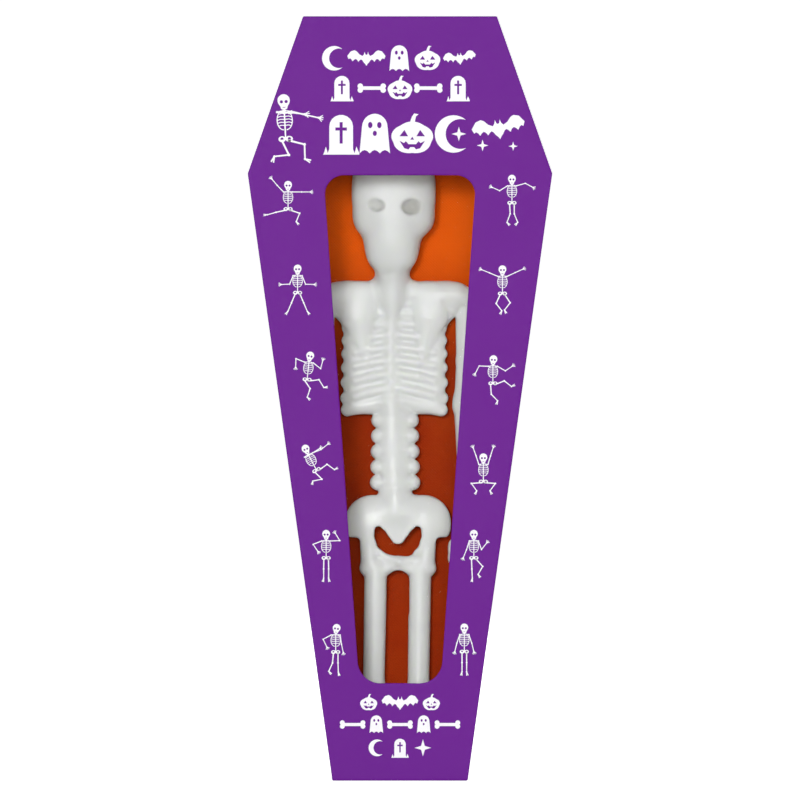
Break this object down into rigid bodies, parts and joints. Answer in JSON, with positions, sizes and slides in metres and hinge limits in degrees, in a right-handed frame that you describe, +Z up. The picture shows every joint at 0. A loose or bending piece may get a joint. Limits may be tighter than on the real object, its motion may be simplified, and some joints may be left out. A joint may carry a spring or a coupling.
{
  "type": "toy skeleton in a coffin carton",
  "caption": "Stretchy white rubber skeleton lying on a fabric liner in a coffin-shaped card box with a clear window lid.",
  "frame": {"origin": "middle of the coffin's foot end, underside", "axes": "+X to the right, -Y to the front where the window is, +Z up towards the head end"},
  "size_m": [0.0798, 0.036, 0.2],
  "materials": {
    "printed_card": "purple printed, satin varnish, pale uncoated inside",
    "liner_cloth": "orange nonwoven cloth",
    "clear_film": "clear film, gloss",
    "white_rubber": "soft white rubber, satin"
  },
  "bodies": {
    "coffin_tray": {"back_panel": "printed_card", "foot_wall": "printed_card", "lower_right_wall": "printed_card", "upper_right_wall": "printed_card", "head_wall": "printed_card", "upper_left_wall": "printed_card", "lower_left_wall": "printed_card", "glue_tabs": "printed_card", "fabric_liner": "liner_cloth"},
    "lid": {"front_panel": "printed_card", "window_film": "clear_film"},
    "lower_right_flap": {"lower_right_tuck_flap": "printed_card"},
    "upper_right_flap": {"upper_right_tuck_flap": "printed_card"},
    "head_flap": {"head_tuck_flap": "printed_card"},
    "hips": {"pelvis": "white_rubber"},
    "waist": {"lumbar_spine": "white_rubber"},
    "torso": {"chest": "white_rubber"},
    "head": {"skull": "white_rubber", "neck": "white_rubber"},
    "left_upper_arm_body": {"left_upper_arm": "white_rubber"},
    "left_forearm_body": {"left_forearm": "white_rubber"},
    "left_hand_body": {"left_hand": "white_rubber"},
    "left_thigh_body": {"left_thigh": "white_rubber"},
    "left_shin_body": {"left_shin": "white_rubber"},
    "left_foot_body": {"left_foot": "white_rubber"},
    "right_upper_arm_body": {"right_upper_arm": "white_rubber"},
    "right_forearm_body": {"right_forearm": "white_rubber"},
    "right_hand_body": {"right_hand": "white_rubber"},
    "right_thigh_body": {"right_thigh": "white_rubber"},
    "right_shin_body": {"right_shin": "white_rubber"},
    "right_foot_body": {"right_foot": "white_rubber"}
  },
  "joints": [
    {"name": "lid_crease", "type": "hinge", "parent": "coffin_tray", "child": "lid", "pos_m": [-0.03985, -0.0175, 0.1589], "axis": [0.1381, 0, -0.9904], "range_deg": [0, 150]},
    {"name": "lower_right_flap_crease", "type": "hinge", "parent": "lid", "child": "lower_right_flap", "pos_m": [0.01655, -0.0175, 0.00771], "axis": [0.1381, 0, 0.9904], "range_deg": [0, 50]},
    {"name": "upper_right_flap_crease", "type": "hinge", "parent": "lid", "child": "upper_right_flap", "pos_m": [0.03564, -0.0175, 0.16422], "axis": [-0.3327, 0, 0.943], "range_deg": [0, 50]},
    {"name": "head_flap_crease", "type": "hinge", "parent": "lid", "child": "head_flap", "pos_m": [0.01815, -0.0175, 0.1978], "axis": [-1, 0, 0], "range_deg": [0, 50]},
    {"name": "skeleton_shift", "type": "slide", "parent": "coffin_tray", "child": "torso", "axis": [0, -1, 0], "range_m": [0, 0.014]},
    {"name": "back_flex", "type": "hinge", "parent": "torso", "child": "waist", "pos_m": [-0.001, 0.0123, 0.0963], "axis": [-1, 0, 0], "range_deg": [0, 10], "stiffness_Nm_per_rad": 0.06},
    {"name": "waist_flex", "type": "hinge", "parent": "waist", "child": "hips", "pos_m": [-0.001, 0.01305, 0.07845], "axis": [-1, 0, 0], "range_deg": [0, 12], "stiffness_Nm_per_rad": 0.06},
    {"name": "neck_flex", "type": "hinge", "parent": "torso", "child": "head", "pos_m": [-0.0019, 0.0129, 0.1343], "axis": [1, 0, 0], "range_deg": [0, 28], "stiffness_Nm_per_rad": 0.017},
    {"name": "left_shoulder_flex", "type": "hinge", "parent": "torso", "child": "left_upper_arm_body", "pos_m": [-0.01865, 0.01395, 0.1265], "axis": [-1, 0, 0], "range_deg": [0, 20], "stiffness_Nm_per_rad": 0.003},
    {"name": "left_elbow_flex", "type": "hinge", "parent": "left_upper_arm_body", "child": "left_forearm_body", "pos_m": [-0.01865, 0.01395, 0.101], "axis": [-1, 0, 0], "range_deg": [0, 32], "stiffness_Nm_per_rad": 0.0015},
    {"name": "left_wrist_flex", "type": "hinge", "parent": "left_forearm_body", "child": "left_hand_body", "pos_m": [-0.01865, 0.01395, 0.066], "axis": [-1, 0, 0], "range_deg": [0, 45], "stiffness_Nm_per_rad": 0.0004},
    {"name": "left_hip_flex", "type": "hinge", "parent": "hips", "child": "left_thigh_body", "pos_m": [-0.00695, 0.0134, 0.0537], "axis": [-1, 0, 0], "range_deg": [0, 14], "stiffness_Nm_per_rad": 0.005},
    {"name": "left_knee_flex", "type": "hinge", "parent": "left_thigh_body", "child": "left_shin_body", "pos_m": [-0.00695, 0.0134, 0.025], "axis": [-1, 0, 0], "range_deg": [0, 25], "stiffness_Nm_per_rad": 0.002},
    {"name": "left_ankle_flex", "type": "hinge", "parent": "left_shin_body", "child": "left_foot_body", "pos_m": [-0.00695, 0.0134, 0.0065], "axis": [-1, 0, 0], "range_deg": [0, 22], "stiffness_Nm_per_rad": 0.0008},
    {"name": "right_shoulder_flex", "type": "hinge", "parent": "torso", "child": "right_upper_arm_body", "pos_m": [0.01665, 0.01395, 0.1265], "axis": [-1, 0, 0], "range_deg": [0, 20], "stiffness_Nm_per_rad": 0.003},
    {"name": "right_elbow_flex", "type": "hinge", "parent": "right_upper_arm_body", "child": "right_forearm_body", "pos_m": [0.01665, 0.01395, 0.101], "axis": [-1, 0, 0], "range_deg": [0, 32], "stiffness_Nm_per_rad": 0.0015},
    {"name": "right_wrist_flex", "type": "hinge", "parent": "right_forearm_body", "child": "right_hand_body", "pos_m": [0.01665, 0.01395, 0.066], "axis": [-1, 0, 0], "range_deg": [0, 45], "stiffness_Nm_per_rad": 0.0004},
    {"name": "right_hip_flex", "type": "hinge", "parent": "hips", "child": "right_thigh_body", "pos_m": [0.00495, 0.0134, 0.0537], "axis": [-1, 0, 0], "range_deg": [0, 14], "stiffness_Nm_per_rad": 0.005},
    {"name": "right_knee_flex", "type": "hinge", "parent": "right_thigh_body", "child": "right_shin_body", "pos_m": [0.00495, 0.0134, 0.025], "axis": [-1, 0, 0], "range_deg": [0, 25], "stiffness_Nm_per_rad": 0.002},
    {"name": "right_ankle_flex", "type": "hinge", "parent": "right_shin_body", "child": "right_foot_body", "pos_m": [0.00495, 0.0134, 0.0065], "axis": [-1, 0, 0], "range_deg": [0, 22], "stiffness_Nm_per_rad": 0.0008}
  ]
}
